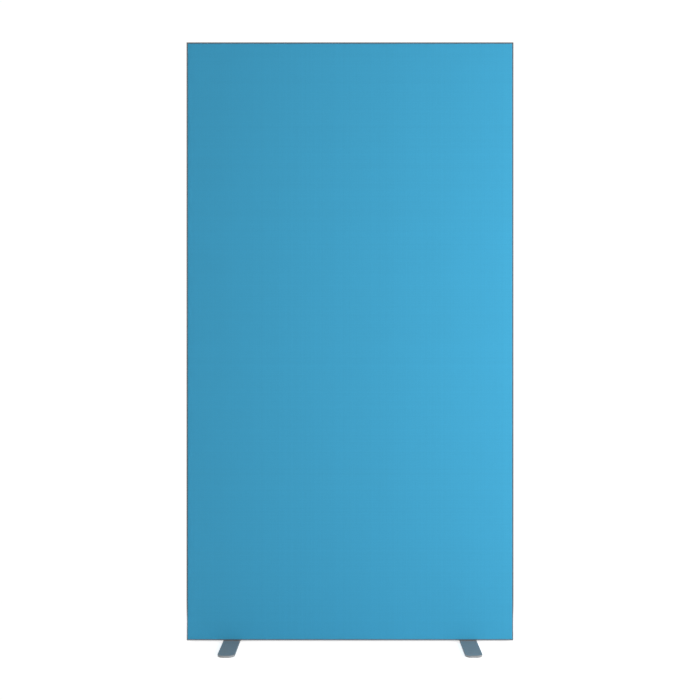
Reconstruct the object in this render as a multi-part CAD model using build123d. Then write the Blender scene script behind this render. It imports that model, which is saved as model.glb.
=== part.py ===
from build123d import *
import os

# A free-standing partition screen. A mitred aluminium frame carries a fabric
# stretched over each face, and stands on two flat steel feet.
# Millimetres. X is the width, Y the depth with the front at -Y, and Z is up.
# The origin is on the floor, at the centre of the footprint.

# Panel, over the outer faces of the frame
panel_width = 940.0
panel_height = 1720.0
panel_depth = 32.0

# Clearances, and the overrun of every cut
fit_gap = 0.1            # between pieces that slide into each other
soft_gap = 0.3           # between a soft piece and what it lies on
thread_gap = 0.05        # round a screw in its thread
screw_gap = 0.25         # round a screw in its clearance hole
overrun = 1.0

# Fabric and the flat silicone strip sewn to its turned-in edge
fabric_thickness = 0.8
fabric_recess = 0.4      # from the rim's face back to the fabric's face
fabric_bend_radius = 1.2
strip_thickness = 2.2
strip_reach = 9.6        # how far the strip reaches into its groove
strip_edge_chamfer = 0.5

# Frame extrusion, measured inward from the outer face of the frame
bar_width = 24.0
rim_thickness = 3.0      # the edge that shows round the fabric
rim_edge_radius = 0.25
groove_floor_thickness = 1.5
web_thickness = 1.8
channel_wall = 1.8
channel_setback = 1.0    # of the channel's faces behind the ribs that carry the fabric
channel_slot = 10.0
mitre_setback = 0.1      # of each mitre face, along the bar

# Corner brackets and their grub screws
bracket_reach = 80.0     # from the frame's outer corner to the end of an arm
bracket_thickness = 5.0
bracket_screw_reach = 56.0               # from the same corner to the screw
grub_diameter = 5.0
grub_sink = 2.2          # from the bracket's face down to the screw
grub_socket_width = 2.5
grub_socket_depth = 2.5

# Crossbar at mid-height, a rectangular tube with a connector in each end
crossbar_height = 30.0
crossbar_wall = 1.5
connector_plate_length = 76.0
connector_plug_length = 35.0
connector_screw_inset = 10.0
plug_edge_chamfer = 1.5

# Feet
foot_length = 330.0
foot_width = 48.0
foot_thickness = 5.0
foot_corner_radius = 18.0
foot_top_edge_chamfer = 0.4
foot_lower_edge_chamfer = 0.8
foot_inset = 130.0       # from the panel's side to the middle of the foot
foot_screw_spacing = 28.0
foot_screw_diameter = 6.0
foot_screw_head = 12.0
foot_screw_point = 1.0   # how far the screw stands out of its nut plate
foot_socket_width = 4.0
foot_socket_depth = 2.2
nut_plate_thickness = 5.0
nut_plate_length = 44.0
nut_plate_side_gap = 1.7

# Glide pads under the feet
pad_thickness = 1.2
pad_length = 40.0
pad_margin = 6.0         # from the edges of the foot's outline
pad_corner_cut = 5.0

# Levels above the floor
foot_bottom = pad_thickness
panel_bottom = foot_bottom + foot_thickness
panel_top = panel_bottom + panel_height
panel_middle = panel_bottom + panel_height / 2

# Places across the extrusion, inward from its outer face
groove_width = fabric_thickness + strip_thickness + 2 * fit_gap
web_outer = rim_thickness + groove_width
web_inner = web_outer + web_thickness
lip_inside = bar_width - channel_wall
strip_outer = rim_thickness + fit_gap + fabric_thickness

# Places through the depth, from the middle of the panel
half_depth = panel_depth / 2
fabric_face = half_depth - fabric_recess
fabric_back = fabric_face - fabric_thickness
strip_front = fabric_back - fit_gap
strip_back = strip_front - strip_reach
groove_floor = strip_back - fit_gap
cavity_half = groove_floor - groove_floor_thickness
support_half = fabric_back - soft_gap
channel_face = support_half - channel_setback
channel_inside = channel_face - channel_wall
slot_half = channel_slot / 2

# The opening that the frame encloses
opening_width = panel_width - 2 * bar_width
opening_height = panel_height - 2 * bar_width

# Screws
grub_length = lip_inside - web_inner - grub_sink
grub_radius = grub_diameter / 2
foot_screw_radius = foot_screw_diameter / 2
foot_head_radius = foot_screw_head / 2
foot_screw_length = foot_thickness + web_inner + nut_plate_thickness + foot_screw_point
connector_screws = connector_plate_length / 2 - connector_screw_inset
foot_middle = panel_width / 2 - foot_inset

# The four sides of the frame. A piece for a side is drawn lying along X with the
# outer face of the frame at Z = 0 and the inside of the frame above it.
side_places = {
    "bottom_rail": Pos(0, 0, panel_bottom),
    "left_stile": Pos(-panel_width / 2, 0, panel_middle) * Rot(0, 90, 0),
    "top_rail": Pos(0, 0, panel_top) * Rot(0, 180, 0),
    "right_stile": Pos(panel_width / 2, 0, panel_middle) * Rot(0, -90, 0),
}
side_lengths = {
    "bottom_rail": panel_width,
    "left_stile": panel_height,
    "top_rail": panel_width,
    "right_stile": panel_height,
}

# The four outer corners of the frame. A piece for a corner is drawn with the
# frame's outer corner at the origin and its arms along +X and +Z.
corner_places = {
    "lower_left": Pos(-panel_width / 2, 0, panel_bottom),
    "upper_left": Pos(-panel_width / 2, 0, panel_top) * Rot(0, 90, 0),
    "upper_right": Pos(panel_width / 2, 0, panel_top) * Rot(0, 180, 0),
    "lower_right": Pos(panel_width / 2, 0, panel_bottom) * Rot(0, -90, 0),
}

# The two faces of the panel. A piece for a face is drawn at the front.
face_turns = {"front": Rot(0, 0, 0), "rear": Rot(0, 0, 180)}

# The two feet, drawn under the middle of the panel
foot_places = {"left": Pos(-foot_middle, 0, 0), "right": Pos(foot_middle, 0, 0)}
foot_screw_offsets = (-foot_screw_spacing / 2, foot_screw_spacing / 2)


def upright_box(size_x, size_y, bottom, top):
    """A box centred on the Z axis between two levels."""
    return Pos(0, 0, (bottom + top) / 2) * Box(size_x, size_y, top - bottom)


def upright_cylinder(radius, bottom, top):
    """A cylinder on the Z axis between two levels."""
    return Pos(0, 0, (bottom + top) / 2) * Cylinder(radius, top - bottom)


def hex_socket(width, depth, mouth, towards):
    """A hexagonal recess on the Z axis, from its mouth towards +Z (1) or -Z (-1)."""
    hexagon = RegularPolygon(width / 2, 6, major_radius=False)
    recess = extrude(hexagon, amount=towards * depth)
    return Pos(0, 0, mouth) * recess


def bar_section():
    """The extrusion's section: X through the depth, Y inward from the outer face.

    The rim, a groove for the fabric in each face, and a slotted channel behind the web.
    """
    half_outline = [
        (0, 0),
        (half_depth, 0),
        (half_depth, rim_thickness),
        (groove_floor, rim_thickness),
        (groove_floor, web_outer),
        (support_half, web_outer),
        (support_half, web_inner),
        (channel_face, web_inner),
        (channel_face, bar_width),
        (slot_half, bar_width),
        (slot_half, lip_inside),
        (channel_inside, lip_inside),
        (channel_inside, web_inner),
        (0, web_inner),
        (0, web_outer),
        (cavity_half, web_outer),
        (cavity_half, rim_thickness),
        (0, rim_thickness),
    ]
    half = make_face(Polyline(*half_outline, close=True))
    rim_corners = half.vertices().group_by(Axis.X)[-1]
    half = fillet(rim_corners, rim_edge_radius)
    return half + mirror(half, about=Plane.YZ)


def mitred_bar(length):
    """One side of the frame, with a 45 degree mitre at each end."""
    bar = extrude(Plane.YZ * bar_section(), amount=length / 2, both=True)
    for end in (-1, 1):
        mitre_corner = (end * (length / 2 - mitre_setback), 0, 0)
        mitre = Plane(origin=mitre_corner, z_dir=(end, 0, 1))
        bar = split(bar, bisect_by=mitre, keep=Keep.BOTTOM)
    return bar


def foot_screw_holes(bar):
    """Clearance holes for the foot screws, through the rim and the web of the lower bar."""
    hole = upright_cylinder(foot_screw_radius + screw_gap, -overrun, web_inner + overrun)
    for side in (-1, 1):
        for offset in foot_screw_offsets:
            bar -= Pos(side * foot_middle + offset, 0, 0) * hole
    return bar


def grub_screw():
    """A grub screw across the channel, from the web to just inside its bracket."""
    head = web_inner + grub_length
    screw = upright_cylinder(grub_radius, web_inner, head)
    return screw - hex_socket(grub_socket_width, grub_socket_depth, head, -1)


def corner_bracket():
    """A bent steel angle inside the channels, drawn up against their lips."""
    outer = lip_inside - bracket_thickness
    outline = [
        (outer, outer),
        (bracket_reach, outer),
        (bracket_reach, lip_inside),
        (lip_inside, lip_inside),
        (lip_inside, bracket_reach),
        (outer, bracket_reach),
    ]
    angle = make_face(Polyline(*outline, close=True))
    bend = angle.vertices().sort_by_distance((0, 0, 0))[0]
    angle = fillet(bend, bracket_thickness)
    bracket = extrude(Plane.XZ * angle, amount=channel_inside - fit_gap, both=True)
    hole = upright_cylinder(grub_radius + thread_gap, outer - overrun, lip_inside + overrun)
    bracket -= Pos(bracket_screw_reach, 0, 0) * hole
    bracket -= Rot(0, 90, 0) * Pos(-bracket_screw_reach, 0, 0) * hole
    return bracket


def corner_grub_screws():
    """A grub screw in each arm of the four corner brackets."""
    screws = []
    for name, place in side_places.items():
        for end in (-1, 1):
            offset = end * (side_lengths[name] / 2 - bracket_screw_reach)
            screws.append(place * Pos(offset, 0, 0) * grub_screw())
    return Compound(children=screws)


def crossbar():
    """The rectangular tube between the two stiles."""
    length = opening_width - 2 * fit_gap
    outer = Box(length, 2 * channel_face, crossbar_height)
    bore_depth = 2 * (channel_face - crossbar_wall)
    bore = Box(length + 2 * overrun, bore_depth, crossbar_height - 2 * crossbar_wall)
    return Pos(0, 0, panel_middle) * (outer - bore)


def crossbar_connector():
    """A plate in the stile's channel, a neck through its slot and a plug in the tube."""
    plug_height = crossbar_height - 2 * (crossbar_wall + fit_gap)
    plug_depth = 2 * (channel_face - crossbar_wall - fit_gap)
    plate_bottom = lip_inside - bracket_thickness
    plug_top = bar_width + connector_plug_length
    plate_depth = 2 * (channel_inside - fit_gap)
    plate = upright_box(connector_plate_length, plate_depth, plate_bottom, lip_inside)
    neck = upright_box(plug_height, channel_slot - 2 * fit_gap, lip_inside, bar_width + fit_gap)
    plug = upright_box(plug_height, plug_depth, bar_width + fit_gap, plug_top)
    plug = chamfer(plug.edges().filter_by(Axis.Z), plug_edge_chamfer)
    connector = plate + neck + plug
    hole = upright_cylinder(grub_radius + thread_gap, plate_bottom - overrun, lip_inside + overrun)
    for end in (-1, 1):
        connector -= Pos(end * connector_screws, 0, 0) * hole
    return connector


def crossbar_grub_screws():
    """A grub screw above and below the crossbar, at each end."""
    screws = []
    for name in ("left_stile", "right_stile"):
        for end in (-1, 1):
            offset = Pos(end * connector_screws, 0, 0)
            screws.append(side_places[name] * offset * grub_screw())
    return Compound(children=screws)


def acoustic_board(level):
    """A pressed felt board that fills the opening on one side of the crossbar (-1 or 1)."""
    bay_height = (opening_height - crossbar_height) / 2
    middle = panel_middle + level * (crossbar_height + bay_height) / 2
    width = opening_width - 2 * soft_gap
    return Pos(0, 0, middle) * Box(width, 2 * support_half, bay_height - 2 * soft_gap)


def stretched_fabric():
    """The front fabric: a flat face whose edges turn back into the grooves."""
    width = panel_width - 2 * (rim_thickness + fit_gap)
    height = panel_height - 2 * (rim_thickness + fit_gap)
    depth = fabric_face - strip_back
    block = Pos(0, -strip_back - depth / 2, panel_middle) * Box(width, depth, height)
    block = fillet(block.faces().sort_by(Axis.Y)[0].edges(), fabric_bend_radius)
    open_side = block.faces().sort_by(Axis.Y)[-1]
    return offset(block, amount=-fabric_thickness, openings=open_side)


def groove_strip(length):
    """The silicone strip along one side of the front fabric."""
    strip = Box(length, strip_reach, strip_thickness)
    strip = chamfer(strip.edges().filter_by(Axis.X), strip_edge_chamfer)
    return Pos(0, -(strip_front + strip_back) / 2, strip_outer + strip_thickness / 2) * strip


def groove_strips(face_turn):
    """The four silicone strips of one fabric, each stopping short of the corners."""
    strips = []
    for name, place in side_places.items():
        length = side_lengths[name] - 2 * web_outer
        strips.append(face_turn * place * groove_strip(length))
    return Compound(children=strips)


def foot_plate():
    """A flat bar with rounded corners and chamfered edges, and two countersunk holes."""
    plate = upright_box(foot_width, foot_length, foot_bottom, panel_bottom)
    plate = fillet(plate.edges().filter_by(Axis.Z), foot_corner_radius)
    plate = chamfer(plate.faces().sort_by(Axis.Z)[-1].edges(), foot_top_edge_chamfer)
    plate = chamfer(plate.faces().sort_by(Axis.Z)[0].edges(), foot_lower_edge_chamfer)
    hole_radius = foot_screw_radius + screw_gap
    sink_radius = foot_head_radius + fit_gap
    sink_depth = sink_radius - hole_radius
    hole = upright_cylinder(hole_radius, foot_bottom - overrun, panel_bottom + overrun)
    sink = Cone(sink_radius, hole_radius, sink_depth)
    sink = Pos(0, 0, foot_bottom + sink_depth / 2) * sink
    for offset in foot_screw_offsets:
        plate -= Pos(offset, 0, 0) * (hole + sink)
    return plate


def foot_screw():
    """A countersunk screw, flush with the underside of the foot."""
    head_height = foot_head_radius - foot_screw_radius
    head = Cone(foot_head_radius, foot_screw_radius, head_height)
    head = Pos(0, 0, foot_bottom + head_height / 2) * head
    shank_top = foot_bottom + foot_screw_length
    shank = upright_cylinder(foot_screw_radius, foot_bottom + head_height, shank_top)
    return head + shank - hex_socket(foot_socket_width, foot_socket_depth, foot_bottom, 1)


def foot_screws():
    """The two screws of each foot."""
    screws = []
    for place in foot_places.values():
        for offset in foot_screw_offsets:
            screws.append(place * Pos(offset, 0, 0) * foot_screw())
    return Compound(children=screws)


def foot_nut_plate():
    """A threaded plate that lies on the web, inside the lower bar's channel."""
    bottom = panel_bottom + web_inner
    top = bottom + nut_plate_thickness
    depth = 2 * (channel_inside - nut_plate_side_gap)
    plate = upright_box(nut_plate_length, depth, bottom, top)
    hole = upright_cylinder(foot_screw_radius + thread_gap, bottom - overrun, top + overrun)
    for offset in foot_screw_offsets:
        plate -= Pos(offset, 0, 0) * hole
    return plate


def glide_pad(end):
    """The pad under the front (-1) or rear (1) end of a foot."""
    pad = upright_box(foot_width - 2 * pad_margin, pad_length, 0, foot_bottom)
    pad = chamfer(pad.edges().filter_by(Axis.Z), pad_corner_cut)
    return Pos(0, end * (foot_length / 2 - pad_margin - pad_length / 2), 0) * pad


# Every named piece of the screen
nodes = {}

for name, place in side_places.items():
    bar = mitred_bar(side_lengths[name])
    if name == "bottom_rail":
        bar = foot_screw_holes(bar)
    nodes[name] = place * bar

for name, place in corner_places.items():
    nodes["corner_bracket_" + name] = place * corner_bracket()
nodes["corner_grub_screws"] = corner_grub_screws()

nodes["crossbar"] = crossbar()
nodes["crossbar_connector_left"] = side_places["left_stile"] * crossbar_connector()
nodes["crossbar_connector_right"] = side_places["right_stile"] * crossbar_connector()
nodes["crossbar_grub_screws"] = crossbar_grub_screws()

nodes["acoustic_board_lower"] = acoustic_board(-1)
nodes["acoustic_board_upper"] = acoustic_board(1)

for name, face_turn in face_turns.items():
    nodes[name + "_fabric"] = face_turn * stretched_fabric()
    nodes[name + "_groove_strips"] = groove_strips(face_turn)

for name, place in foot_places.items():
    nodes["foot_plate_" + name] = place * foot_plate()
    nodes["foot_nut_plate_" + name] = place * foot_nut_plate()
    nodes["glide_pad_front_" + name] = place * glide_pad(-1)
    nodes["glide_pad_rear_" + name] = place * glide_pad(1)
nodes["foot_screws"] = foot_screws()

os.makedirs("parts", exist_ok=True)
for name, shape in nodes.items():
    export_step(shape, "parts/" + name + ".step")
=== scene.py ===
import math
import random

import bpy
from mathutils import Matrix, Vector


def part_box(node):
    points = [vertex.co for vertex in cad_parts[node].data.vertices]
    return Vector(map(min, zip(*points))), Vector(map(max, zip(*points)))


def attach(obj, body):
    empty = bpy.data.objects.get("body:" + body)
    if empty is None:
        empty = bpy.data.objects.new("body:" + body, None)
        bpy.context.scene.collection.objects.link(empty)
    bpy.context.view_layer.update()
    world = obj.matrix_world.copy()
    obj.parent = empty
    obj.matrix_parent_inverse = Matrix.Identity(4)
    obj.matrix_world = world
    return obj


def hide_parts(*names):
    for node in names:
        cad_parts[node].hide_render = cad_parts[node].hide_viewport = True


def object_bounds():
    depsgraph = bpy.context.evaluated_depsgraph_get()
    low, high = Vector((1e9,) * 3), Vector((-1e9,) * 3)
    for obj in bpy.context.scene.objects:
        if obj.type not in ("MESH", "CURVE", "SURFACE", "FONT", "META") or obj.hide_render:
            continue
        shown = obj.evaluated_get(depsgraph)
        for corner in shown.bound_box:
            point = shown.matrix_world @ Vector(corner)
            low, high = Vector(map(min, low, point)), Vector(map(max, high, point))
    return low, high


# A free-standing partition screen: blue fabric stretched over both faces of a
# mitred aluminium frame, on two flat steel feet. Metres, with the front at -Y.

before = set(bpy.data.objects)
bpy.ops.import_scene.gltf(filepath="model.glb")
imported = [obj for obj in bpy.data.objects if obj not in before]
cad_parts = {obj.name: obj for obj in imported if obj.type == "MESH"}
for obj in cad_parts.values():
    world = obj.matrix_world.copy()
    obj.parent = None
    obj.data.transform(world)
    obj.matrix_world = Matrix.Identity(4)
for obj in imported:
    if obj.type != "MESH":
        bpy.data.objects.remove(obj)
cad_low, cad_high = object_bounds()
object_middle = (cad_low + cad_high) / 2
millimetre = 0.001
quarter_turn = math.pi / 2
half_turn = math.pi

# Camera, square to the panel and a little below its middle
camera_distance = 3.004
camera_height = 0.8416
camera_lens = 53.45              # millimetres
camera_sensor = 36.0             # millimetres wide

# Lamps: place, the point they are turned to, size and power
key_place = Vector((2.6, -1.9, 1.03))
key_aim = Vector((-2.0, 0, 0.86))
key_size = 1.4
key_power = 114.0
rear_place = Vector((-1.9, 2.3, 1.03))
rear_aim = Vector((0, 0, 0.86))
rear_size = 1.2
rear_power = 60.0

# Room
fill_strength = 0.36             # of the room's light on the object
white_strength = 1.02            # of the background as the camera sees it
shiny_front_strength = 0.42      # of what gloss sees on the camera's side of the room
shiny_front_depth = -0.5         # Y of the directions up to which gloss sees only that
shiny_white_depth = 0.3          # Y of those from which it sees the white background
shiny_key_strength = 1.6         # of the glow that gloss sees in the key lamp's place as well
shiny_key_spread = math.radians(40)    # from the glow's middle to where it ends

# Floor
floor_size = 60.0
floor_lightness = 0.68           # as it lights the object
floor_glow = 0.77                # as the camera sees it, without the light that falls on it
floor_shadow_share = 0.7         # of the light on it that the camera sees
floor_shadow_start = 0.20        # how far in front or behind that starts to fade into white
floor_shadow_end = 0.45
floor_shade = 0.35               # painted shade beside the object, as gloss sees it
floor_shade_start = 0.10         # how far in front or behind that starts to fade into the glow
floor_shade_end = 0.18
floor_front_start = -0.20        # the Y where it starts to turn grey, as gloss sees it
floor_front_end = -0.50
painted_contact_shadow_reach = 2 * millimetre   # of the painted contact shadow, a dark line where the object meets it

# Colours, which the materials' textures make lighter and darker
fabric_color = (0.052, 0.364, 0.598)
sheen_color = (0.6, 0.85, 1.0)
bar_color = (0.32, 0.325, 0.33)
casting_color = (0.50, 0.51, 0.52)
zinc_color = (0.62, 0.64, 0.66)
felt_color = (0.30, 0.31, 0.32)
silicone_color = (0.75, 0.76, 0.76)
coat_color = (0.37, 0.37, 0.37)
rubber_color = (0.03, 0.03, 0.03)

# Cloth
cloth_thickness = 0.8 * millimetre
cloth_bend_radius = 1.2 * millimetre
cloth_grid = 8 * millimetre      # between the points of the face
bend_steps = 5                   # from the face to the edge that goes straight back
corner_steps = 5                 # round each corner of the face
turned_edge_steps = 4            # along the edge that goes straight back
thread_pitch = 0.85 * millimetre
thread_relief = 0.14 * millimetre
thread_crown = 0.5               # of a thread's middle above its sides, times the relief
thread_sway = 0.5                # of a thread up and down along its length, times the relief

# Ripples of the cloth
ripple_count = 7
ripple_height = 0.03 * millimetre
ripple_shortest = 120 * millimetre
ripple_longest = 450 * millimetre
ripple_lean = 0.35               # radians, the most that a wave leans from upright
ripple_fade = 60 * millimetre    # from the edge, where the cloth is held flat


def shade(color, factor):
    """A colour made lighter or darker by a factor."""
    return tuple(channel * factor for channel in color) + (1,)


def grey(lightness):
    """A grey from black at 0 to white at 1."""
    return (lightness, lightness, lightness, 1)


class ShaderNodes:
    """The nodes of one shader, with a short call for each kind used here."""

    def __init__(self, tree):
        self.tree = tree

    def add(self, kind, **settings):
        """A new node, with its settings."""
        node = self.tree.nodes.new(kind)
        for name, value in settings.items():
            setattr(node, name, value)
        return node

    def feed(self, socket, value):
        """Links a socket to another node's output, or sets it to a plain value."""
        if isinstance(value, bpy.types.NodeSocket):
            self.tree.links.new(value, socket)
        else:
            socket.default_value = value

    def feed_all(self, node, values):
        """Feeds the first sockets of a node, in their order."""
        for socket, value in zip(node.inputs, values):
            self.feed(socket, value)

    def calc(self, operation, *values):
        """The result of one step of arithmetic."""
        node = self.add("ShaderNodeMath", operation=operation)
        self.feed_all(node, values)
        return node.outputs["Value"]

    def add_shares(self, start, *parts):
        """A start value, plus the given share of each further value."""
        total = start
        for share, value in parts:
            total = self.calc("MULTIPLY_ADD", value, share, total)
        return total

    def split(self, vector):
        """The X, Y and Z of a vector."""
        node = self.add("ShaderNodeSeparateXYZ")
        self.feed(node.inputs["Vector"], vector)
        return node.outputs

    def smooth_range(self, value, start, end, low, high):
        """Runs smoothly from low to high while the value goes from start to end."""
        node = self.add("ShaderNodeMapRange", interpolation_type="SMOOTHSTEP")
        limits = {"Value": value, "From Min": start, "From Max": end, "To Min": low, "To Max": high}
        for name, limit in limits.items():
            self.feed(node.inputs[name], limit)
        return node.outputs["Result"]

    def choose(self, share, first, second):
        """The first value where the share is 0, and the second where it is 1."""
        node = self.add("ShaderNodeMix")
        for name, value in (("Factor", share), ("A", first), ("B", second)):
            self.feed(node.inputs[name], value)
        return node.outputs["Result"]

    def choose_surface(self, share, first, second):
        """The first surface where the share is 0, and the second where it is 1."""
        node = self.add("ShaderNodeMixShader")
        self.feed_all(node, (share, first, second))
        return node.outputs["Shader"]

    def add_surfaces(self, first, second):
        """The light of two surfaces together."""
        node = self.add("ShaderNodeAddShader")
        self.feed_all(node, (first, second))
        return node.outputs["Shader"]

    def glowing(self, strength):
        """A surface that gives white light of its own."""
        node = self.add("ShaderNodeEmission")
        self.feed(node.inputs["Strength"], strength)
        return node.outputs["Emission"]

    def matt(self, color):
        """A matt surface."""
        node = self.add("ShaderNodeBsdfDiffuse")
        self.feed(node.inputs["Color"], color)
        return node.outputs["BSDF"]

    def ray_kinds(self):
        """1 for the rays that the camera sees by, and 1 for those of gloss and glass."""
        kinds = self.add("ShaderNodeLightPath").outputs
        shiny = self.calc("MAXIMUM", kinds["Is Glossy Ray"], kinds["Is Transmission Ray"])
        return kinds["Is Camera Ray"], shiny


class MaterialNodes(ShaderNodes):
    """The nodes of one new material, whose texture follows the object."""

    def __init__(self, name):
        self.material = bpy.data.materials.new(name)
        self.material.use_nodes = True
        super().__init__(self.material.node_tree)
        self.surface = self.tree.nodes["Principled BSDF"]
        self.place = self.add("ShaderNodeTexCoord").outputs["Object"]

    def set_surface(self, **values):
        """Feeds the surface's sockets, which are named here with _ for each space."""
        for name, value in values.items():
            self.feed(self.surface.inputs[name.replace("_", " ")], value)

    def stretched_place(self, stretch):
        """The place on the object, scaled by a factor for each axis."""
        node = self.add("ShaderNodeMapping")
        self.feed(node.inputs["Vector"], self.place)
        self.feed(node.inputs["Scale"], stretch)
        return node.outputs["Vector"]

    def noise(self, size, detail=2.0, stretch=(1, 1, 1)):
        """Soft noise from 0 to 1, whose features are about as large as size.

        A stretch of more than 1 makes them so many times slimmer along that axis.
        """
        node = self.add("ShaderNodeTexNoise")
        self.feed(node.inputs["Vector"], self.stretched_place(stretch))
        self.feed(node.inputs["Scale"], 1 / size)
        self.feed(node.inputs["Detail"], detail)
        return node.outputs["Fac"]

    def flakes(self, size):
        """A random value from 0 to 1 in each of many small cells."""
        cells = self.add("ShaderNodeTexVoronoi")
        self.feed(cells.inputs["Vector"], self.place)
        self.feed(cells.inputs["Scale"], 1 / size)
        random_value = self.add("ShaderNodeTexWhiteNoise", noise_dimensions="3D")
        self.feed(random_value.inputs["Vector"], cells.outputs["Position"])
        return random_value.outputs["Value"]

    def numbered_random(self, number):
        """A random value from 0 to 1 for each whole number."""
        node = self.add("ShaderNodeTexWhiteNoise", noise_dimensions="1D")
        self.feed(node.inputs["W"], number)
        return node.outputs["Value"]

    def scaled(self, value, low, high):
        """A value from 0 to 1, scaled to run from low to high."""
        return self.add_shares(low, (high - low, value))

    def tinted(self, color, tone, darkest, lightest):
        """A colour, times darkest where the tone is 0, and times lightest where it is 1."""
        ramp = self.add("ShaderNodeValToRGB")
        ends = ramp.color_ramp.elements
        ends[0].color = shade(color, darkest)
        ends[1].color = shade(color, lightest)
        self.feed(ramp.inputs["Fac"], tone)
        return ramp.outputs["Color"]

    def bump(self, height, depth):
        """The surface direction over a relief that is depth high."""
        node = self.add("ShaderNodeBump")
        self.feed(node.inputs["Height"], height)
        self.feed(node.inputs["Distance"], depth)
        return node.outputs["Normal"]


def thread_height(nodes, across, along, lead):
    """The height of one set of threads, in units of their relief, and each thread's number.

    Each thread is round across, and rises and falls along its length. The two sets
    have a lead of 1 and -1, so that where one rises the other falls.
    """
    number = nodes.calc("FLOOR", across)
    # The offset runs from -0.5 to 0.5 across a thread, with 0 in its middle
    offset = nodes.calc("SUBTRACT", nodes.calc("FRACT", across), 0.5)
    offset_squared = nodes.calc("MULTIPLY", offset, offset)
    roundness = nodes.calc("MULTIPLY_ADD", offset_squared, -4 * thread_crown, thread_crown)
    half_turns = nodes.calc("ADD", nodes.calc("SUBTRACT", along, 0.5), number)
    wave = nodes.calc("COSINE", nodes.calc("MULTIPLY", half_turns, half_turn))
    height = nodes.calc("MULTIPLY_ADD", wave, thread_sway * lead, roundness)
    return height, number


def blue_fabric():
    """A fine plain weave of slightly uneven yarn."""
    fibre_size = 0.12 * millimetre
    slub_length = 30 * millimetre
    heather_size = 5 * millimetre
    cloud_size = 120 * millimetre
    ground_tone = 0.30
    nodes = MaterialNodes("blue_fabric")
    x, _, z = nodes.split(nodes.place)
    across = nodes.calc("DIVIDE", x, thread_pitch)
    along = nodes.calc("DIVIDE", z, thread_pitch)
    warp, warp_number = thread_height(nodes, across, along, 1)
    weft, weft_number = thread_height(nodes, along, across, -1)
    height = nodes.calc("MAXIMUM", warp, weft)
    warp_on_top = nodes.calc("GREATER_THAN", warp, weft)

    slimness = slub_length / thread_pitch
    warp_slubs = nodes.noise(slub_length, detail=1.0, stretch=(slimness, 1, 1))
    weft_slubs = nodes.noise(slub_length, detail=1.0, stretch=(1, 1, slimness))
    warp_tone = nodes.calc("ADD", nodes.numbered_random(warp_number), warp_slubs)
    weft_tone = nodes.calc("ADD", nodes.numbered_random(weft_number), weft_slubs)
    thread_tone = nodes.choose(warp_on_top, weft_tone, warp_tone)

    fibres = nodes.noise(fibre_size)
    # Painted shade: the tone darkens the colour where the threads dip between each other; the
    # thread, fibre, heather and cloud parts are the yarn's own uneven colour
    tone = nodes.add_shares(
        ground_tone,
        # painted shade between the threads
        (0.22, height),
        (0.07, thread_tone),
        (0.10, fibres),
        (0.05, nodes.noise(heather_size)),
        (0.02, nodes.noise(cloud_size)),
    )
    nodes.set_surface(
        Base_Color=nodes.tinted(fabric_color, tone, 0.4, 1.3),
        Roughness=nodes.scaled(fibres, 0.60, 0.70),
        Specular_IOR_Level=0.22,
        Sheen_Weight=0.06,
        Sheen_Roughness=0.45,
        Sheen_Tint=shade(sheen_color, 1),
        Normal=nodes.bump(nodes.add_shares(height, (0.12, fibres)), thread_relief),
    )
    return nodes.material


def anodised_aluminium(name, lengthways):
    """Satin anodised aluminium with the fine lines that the die leaves along a bar."""
    line_length = 400 * millimetre
    line_width = 0.25 * millimetre
    line_relief = 0.0005 * millimetre
    cloud_size = 35 * millimetre
    grain_size = 0.08 * millimetre
    slimness = [line_length / line_width] * 3
    slimness["XYZ".index(lengthways)] = 1
    usual_low = 0.3    # the noise seldom goes beyond this and the next
    usual_high = 0.7
    nodes = MaterialNodes(name)
    streaks = nodes.noise(line_length, detail=3.0, stretch=slimness)
    lines = nodes.smooth_range(streaks, usual_low, usual_high, 0, 1)
    clouds = nodes.noise(cloud_size)
    grain = nodes.noise(grain_size, detail=1.0)
    tone = nodes.add_shares(0.0, (0.25, clouds), (0.60, lines), (0.15, grain))
    nodes.set_surface(
        Base_Color=nodes.tinted(bar_color, tone, 0.86, 1.14),
        Metallic=0.75,
        Roughness=nodes.scaled(tone, 0.12, 0.16),
        Normal=nodes.bump(nodes.add_shares(lines, (0.3, grain)), line_relief),
    )
    return nodes.material


def cast_aluminium():
    """Matt die-cast aluminium with a grainy skin."""
    skin_size = 0.6 * millimetre
    skin_relief = 0.05 * millimetre
    stain_size = 9 * millimetre
    nodes = MaterialNodes("cast_aluminium")
    skin = nodes.noise(skin_size, detail=3.0)
    stains = nodes.noise(stain_size, detail=3.0)
    tone = nodes.add_shares(0.0, (0.5, stains), (0.5, skin))
    nodes.set_surface(
        Base_Color=nodes.tinted(casting_color, tone, 0.8, 1.1),
        Metallic=1.0,
        Roughness=nodes.scaled(stains, 0.48, 0.62),
        Normal=nodes.bump(skin, skin_relief),
    )
    return nodes.material


def zinc_plate():
    """Bright zinc plate with faint mottling."""
    mottle_size = 3 * millimetre
    scratch_length = 6 * millimetre
    scratch_slimness = (12, 1, 12)
    scratch_relief = 0.006 * millimetre
    nodes = MaterialNodes("zinc_plate")
    mottle = nodes.noise(mottle_size, detail=3.0)
    scratches = nodes.noise(scratch_length, stretch=scratch_slimness)
    tone = nodes.add_shares(0.0, (0.4, scratches), (0.6, mottle))
    nodes.set_surface(
        Base_Color=nodes.tinted(zinc_color, tone, 0.82, 1.08),
        Metallic=1.0,
        Roughness=nodes.scaled(tone, 0.24, 0.38),
        Normal=nodes.bump(scratches, scratch_relief),
    )
    return nodes.material


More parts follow.
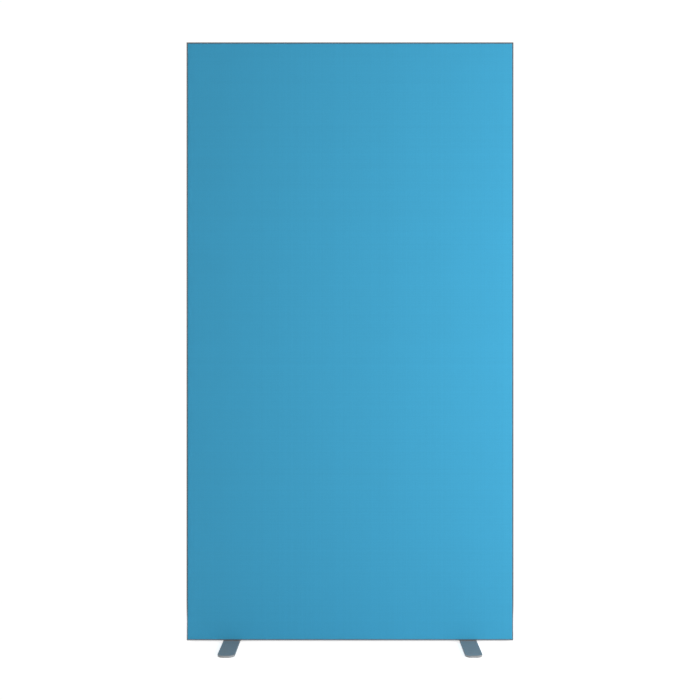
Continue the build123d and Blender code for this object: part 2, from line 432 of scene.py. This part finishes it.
def acoustic_felt():
    """Grey polyester felt of pressed fibres."""
    fibre_length = 0.4 * millimetre
    fibre_slimness = (1, 1, 3)
    tuft_size = 6 * millimetre
    felt_relief = 0.3 * millimetre
    nodes = MaterialNodes("acoustic_felt")
    fibres = nodes.noise(fibre_length, detail=4.0, stretch=fibre_slimness)
    tufts = nodes.noise(tuft_size, detail=3.0)
    tone = nodes.add_shares(0.0, (0.4, tufts), (0.6, fibres))
    nodes.set_surface(
        Base_Color=nodes.tinted(felt_color, tone, 0.6, 1.35),
        Roughness=nodes.scaled(fibres, 0.88, 0.98),
        Specular_IOR_Level=0.2,
        Sheen_Weight=0.2,
        Normal=nodes.bump(tone, felt_relief),
    )
    return nodes.material


def silicone():
    """Translucent white silicone, a little dusty."""
    dust_size = 1.5 * millimetre
    wave_length = 12 * millimetre
    wave_relief = 0.05 * millimetre
    nodes = MaterialNodes("silicone")
    dust = nodes.noise(dust_size, detail=4.0)
    waves = nodes.noise(wave_length, detail=1.0)
    nodes.set_surface(
        Base_Color=nodes.tinted(silicone_color, dust, 0.92, 1.05),
        Roughness=nodes.scaled(dust, 0.38, 0.55),
        Subsurface_Weight=0.15,
        Normal=nodes.bump(waves, wave_relief),
    )
    return nodes.material


def powder_coat():
    """Silver-grey powder coat: fine flakes under a slightly dimpled gloss."""
    dimple_size = 1.1 * millimetre
    dimple_relief = 0.02 * millimetre
    flake_size = 0.12 * millimetre
    cloud_size = 20 * millimetre
    nodes = MaterialNodes("silver_powder_coat")
    dimples = nodes.noise(dimple_size)
    flakes = nodes.flakes(flake_size)
    clouds = nodes.noise(cloud_size)
    tone = nodes.add_shares(0.0, (0.4, clouds), (0.6, flakes))
    nodes.set_surface(
        Base_Color=nodes.tinted(coat_color, tone, 0.85, 1.15),
        Metallic=0.5,
        Roughness=nodes.scaled(dimples, 0.50, 0.60),
        Normal=nodes.bump(dimples, dimple_relief),
    )
    return nodes.material


def pad_rubber():
    """Matt black rubber with a fine grain."""
    grain_size = 0.5 * millimetre
    grain_relief = 0.06 * millimetre
    dust_size = 8 * millimetre
    nodes = MaterialNodes("pad_rubber")
    grain = nodes.noise(grain_size, detail=3.0)
    dust = nodes.noise(dust_size, detail=4.0)
    nodes.set_surface(
        Base_Color=nodes.tinted(rubber_color, dust, 0.8, 1.9),
        Roughness=nodes.scaled(grain, 0.68, 0.85),
        Normal=nodes.bump(grain, grain_relief),
    )
    return nodes.material


def ripple_waves(seed):
    """A few long shallow waves that tension leaves in a cloth."""
    chance = random.Random(seed)
    waves = []
    for _ in range(ripple_count):
        length = chance.uniform(ripple_shortest, ripple_longest)
        lean = chance.uniform(-ripple_lean, ripple_lean)
        turns = 2 * math.pi / length
        waves.append((turns * math.cos(lean), turns * math.sin(lean), chance.uniform(0, turns)))
    return waves


def ripple(waves, x, z, edge_distance):
    """How far the cloth stands off its flat face at one point."""
    held = min(edge_distance / ripple_fade, 1)
    total = sum(math.sin(across * x + up * z + start) for across, up, start in waves)
    return ripple_height * held * held * total


def cloth_border(columns, rows):
    """The numbers of the face points round the edge, each with the way the cloth turns there."""
    across = range(columns + 1)
    upward = range(rows + 1)
    sides = [
        [(column, 0) for column in across],
        [(columns, row) for row in upward],
        [(column, rows) for column in reversed(across)],
        [(0, row) for row in reversed(upward)],
    ]
    border = []
    for side_number, side in enumerate(sides):
        direction = (side_number - 1) * quarter_turn
        spots = [row * (columns + 1) + column for column, row in side]
        border.extend((spot, direction) for spot in spots)
        for step in range(1, corner_steps):
            border.append((spots[-1], direction + quarter_turn * step / corner_steps))
    return border


def turned_edge(depth):
    """How far out and how far back each ring of the turned edge lies from the border."""
    profile = []
    for step in range(1, bend_steps + 1):
        angle = quarter_turn * step / bend_steps
        out = cloth_bend_radius * math.sin(angle)
        back = cloth_bend_radius * (1 - math.cos(angle))
        profile.append((out, back))
    for step in range(1, turned_edge_steps + 1):
        back = cloth_bend_radius + (depth - cloth_bend_radius) * step / turned_edge_steps
        profile.append((cloth_bend_radius, back))
    return profile


def cloth_mesh(name, low, high, waves):
    """A cloth over the front: a rippled face, with its border turned back into the grooves."""
    face_width = high.x - low.x - 2 * cloth_bend_radius
    face_height = high.z - low.z - 2 * cloth_bend_radius
    middle_height = (low.z + high.z) / 2
    columns = round(face_width / cloth_grid)
    rows = round(face_height / cloth_grid)
    points = []
    faces = []

    for row in range(rows + 1):
        z = face_height * (row / rows - 0.5)
        for column in range(columns + 1):
            x = face_width * (column / columns - 0.5)
            edge_distance = min(face_width / 2 - abs(x), face_height / 2 - abs(z))
            y = low.y + ripple(waves, x, z, edge_distance)
            points.append(Vector((x, y, middle_height + z)))
    for row in range(rows):
        for column in range(columns):
            corner = row * (columns + 1) + column
            above = corner + columns + 1
            faces.append((corner, corner + 1, above + 1, above))

    border = cloth_border(columns, rows)
    inner_ring = [spot for spot, _ in border]
    for out, back in turned_edge(high.y - low.y):
        ring = []
        for spot, direction in border:
            aside = Vector((math.cos(direction) * out, back, math.sin(direction) * out))
            ring.append(len(points))
            points.append(points[spot] + aside)
        for here in range(len(border)):
            there = (here + 1) % len(border)
            corners = (ring[here], ring[there], inner_ring[there], inner_ring[here])
            # Two corners are one point where the first ring goes round a corner of the face
            faces.append(tuple(dict.fromkeys(corners)))
        inner_ring = ring

    mesh = bpy.data.meshes.new(name)
    mesh.from_pydata(points, [], faces)
    return mesh


def stretched_cloth(face, turn, seed, material):
    """A cloth over one face of the panel: the front's, turned round by the given angle."""
    name = face + "_cloth"
    node = face + "_fabric"
    low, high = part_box("front_fabric")
    mesh = cloth_mesh(name, low, high, ripple_waves(seed))
    mesh.transform(Matrix.Rotation(turn, 4, "Z"))
    mesh.shade_smooth()
    cloth = bpy.data.objects.new(name, mesh)
    bpy.context.scene.collection.objects.link(cloth)
    thickness = cloth.modifiers.new("thickness", "SOLIDIFY")
    thickness.thickness = cloth_thickness
    thickness.offset = -1
    thickness.use_even_offset = True

    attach(cloth, "root")
    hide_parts(node)
    cloth.data.materials.append(material)


def finish_node(name, material):
    """Gives a carried-over piece of the frame its material."""
    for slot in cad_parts[name].material_slots:
        slot.material = material


def floor_near(nodes, shiny, away):
    """The floor round the object: its own glow, darkened by a painted contact shadow where the
    object meets it, with the object's shadow from the lamps on it.

    Gloss sees less of the glow close beside the object, as painted shade.
    """
    painted_contact_shadow = nodes.add("ShaderNodeAmbientOcclusion")
    nodes.feed(painted_contact_shadow.inputs["Distance"], painted_contact_shadow_reach)
    shiny_glow = nodes.smooth_range(
        away, floor_shade_start, floor_shade_end, floor_shade, floor_glow
    )
    glow = nodes.choose(shiny, floor_glow, shiny_glow)
    # Painted contact shadow: the glow darkens where the object meets the floor
    glow = nodes.calc("MULTIPLY", painted_contact_shadow.outputs["AO"], glow)
    lit = nodes.matt(grey(floor_shadow_share))
    return nodes.add_surfaces(nodes.glowing(glow), lit)


def floor_material():
    """A pale floor that looks white, and keeps the object's shadow round the object.

    Gloss sees it on the camera's side as grey as the room.
    """
    material = bpy.data.materials.new("floor")
    material.use_nodes = True
    material.node_tree.nodes.clear()
    nodes = ShaderNodes(material.node_tree)
    seen, shiny = nodes.ray_kinds()
    depth = nodes.split(nodes.add("ShaderNodeTexCoord").outputs["Object"])["Y"]
    away = nodes.calc("ABSOLUTE", depth)
    in_front = nodes.smooth_range(depth, floor_front_end, floor_front_start, 1, 0)
    front_share = nodes.calc("MULTIPLY", shiny, in_front)
    faded_share = nodes.smooth_range(away, floor_shadow_start, floor_shadow_end, 0, 1)
    far_share = nodes.calc("MAXIMUM", faded_share, front_share)
    far = nodes.glowing(nodes.choose(front_share, white_strength, shiny_front_strength))
    bright = nodes.choose_surface(far_share, floor_near(nodes, shiny, away), far)
    bright_share = nodes.calc("MAXIMUM", seen, shiny)
    surface = nodes.choose_surface(bright_share, nodes.matt(grey(floor_lightness)), bright)
    output = nodes.add("ShaderNodeOutputMaterial")
    nodes.feed(output.inputs["Surface"], surface)
    return material


def studio_floor():
    """The floor that the object stands on."""
    half = floor_size / 2
    mesh = bpy.data.meshes.new("floor")
    corners = [(-half, -half, 0), (half, -half, 0), (half, half, 0), (-half, half, 0)]
    mesh.from_pydata(corners, [], [(0, 1, 2, 3)])
    mesh.materials.append(floor_material())
    floor = bpy.data.objects.new("floor", mesh)
    bpy.context.scene.collection.objects.link(floor)


def studio_room():
    """An even grey room that the camera sees as white, and gloss as white behind.

    Gloss also sees a broad soft glow in the key lamp's place.
    """
    world = bpy.data.worlds.new("room")
    bpy.context.scene.world = world
    world.use_nodes = True
    world.node_tree.nodes.clear()
    nodes = ShaderNodes(world.node_tree)
    seen, shiny = nodes.ray_kinds()
    direction = nodes.add("ShaderNodeTexCoord").outputs["Generated"]
    depth = nodes.split(direction)["Y"]
    room_seen = nodes.smooth_range(
        depth, shiny_front_depth, shiny_white_depth, shiny_front_strength, white_strength
    )
    nearness = nodes.add("ShaderNodeVectorMath", operation="DOT_PRODUCT")
    key_direction = (key_place - object_middle).normalized()
    nodes.feed_all(nearness, (direction, key_direction))
    key_seen = nodes.smooth_range(
        nearness.outputs["Value"], math.cos(shiny_key_spread), 1, 0, shiny_key_strength
    )
    seen_by_gloss = nodes.calc("ADD", room_seen, key_seen)
    strength = nodes.choose(shiny, fill_strength, seen_by_gloss)
    strength = nodes.choose(seen, strength, white_strength)
    background = nodes.add("ShaderNodeBackground")
    nodes.feed(background.inputs["Color"], grey(1))
    nodes.feed(background.inputs["Strength"], strength)
    output = nodes.add("ShaderNodeOutputWorld")
    nodes.feed(output.inputs["Surface"], background.outputs["Background"])


def soft_lamp(name, place, aim, size, power):
    """A square soft lamp, which gloss doesn't see."""
    light = bpy.data.lights.new(name, "AREA")
    light.shape = "SQUARE"
    light.size = size
    light.energy = power
    lamp = bpy.data.objects.new(name, light)
    lamp.location = place
    lamp.rotation_euler = (aim - place).to_track_quat("-Z", "Y").to_euler()
    lamp.visible_glossy = False
    bpy.context.scene.collection.objects.link(lamp)


def add_camera():
    """The camera, which looks level at the front of the panel."""
    lens = bpy.data.cameras.new("camera")
    lens.lens = camera_lens
    lens.sensor_width = camera_sensor
    camera = bpy.data.objects.new("camera", lens)
    camera.location = (0, -camera_distance, camera_height)
    camera.rotation_euler = (quarter_turn, 0, 0)
    bpy.context.scene.collection.objects.link(camera)
    bpy.context.scene.camera = camera


bpy.context.scene.view_settings.view_transform = "Standard"
add_camera()
studio_room()
studio_floor()
soft_lamp("key_lamp", key_place, key_aim, key_size, key_power)
soft_lamp("rear_lamp", rear_place, rear_aim, rear_size, rear_power)

rail_metal = anodised_aluminium("anodised_rail", "X")
stile_metal = anodised_aluminium("anodised_stile", "Z")
zinc = zinc_plate()
casting = cast_aluminium()
felt = acoustic_felt()
strip_silicone = silicone()
foot_coat = powder_coat()
rubber = pad_rubber()
fabric = blue_fabric()

node_materials = {
    "top_rail": rail_metal,
    "bottom_rail": rail_metal,
    "crossbar": rail_metal,
    "left_stile": stile_metal,
    "right_stile": stile_metal,
    "corner_grub_screws": zinc,
    "crossbar_grub_screws": zinc,
    "foot_screws": zinc,
    "acoustic_board_lower": felt,
    "acoustic_board_upper": felt,
    "front_groove_strips": strip_silicone,
    "rear_groove_strips": strip_silicone,
}
for side in ("left", "right"):
    node_materials["crossbar_connector_" + side] = casting
    node_materials["foot_plate_" + side] = foot_coat
    node_materials["foot_nut_plate_" + side] = zinc
    for end in ("front", "rear"):
        node_materials["glide_pad_" + end + "_" + side] = rubber
    for level in ("lower", "upper"):
        node_materials["corner_bracket_" + level + "_" + side] = zinc
for name, material in node_materials.items():
    finish_node(name, material)

for face, turn, seed in (("front", 0, 1), ("rear", half_turn, 2)):
    stretched_cloth(face, turn, seed, fabric)
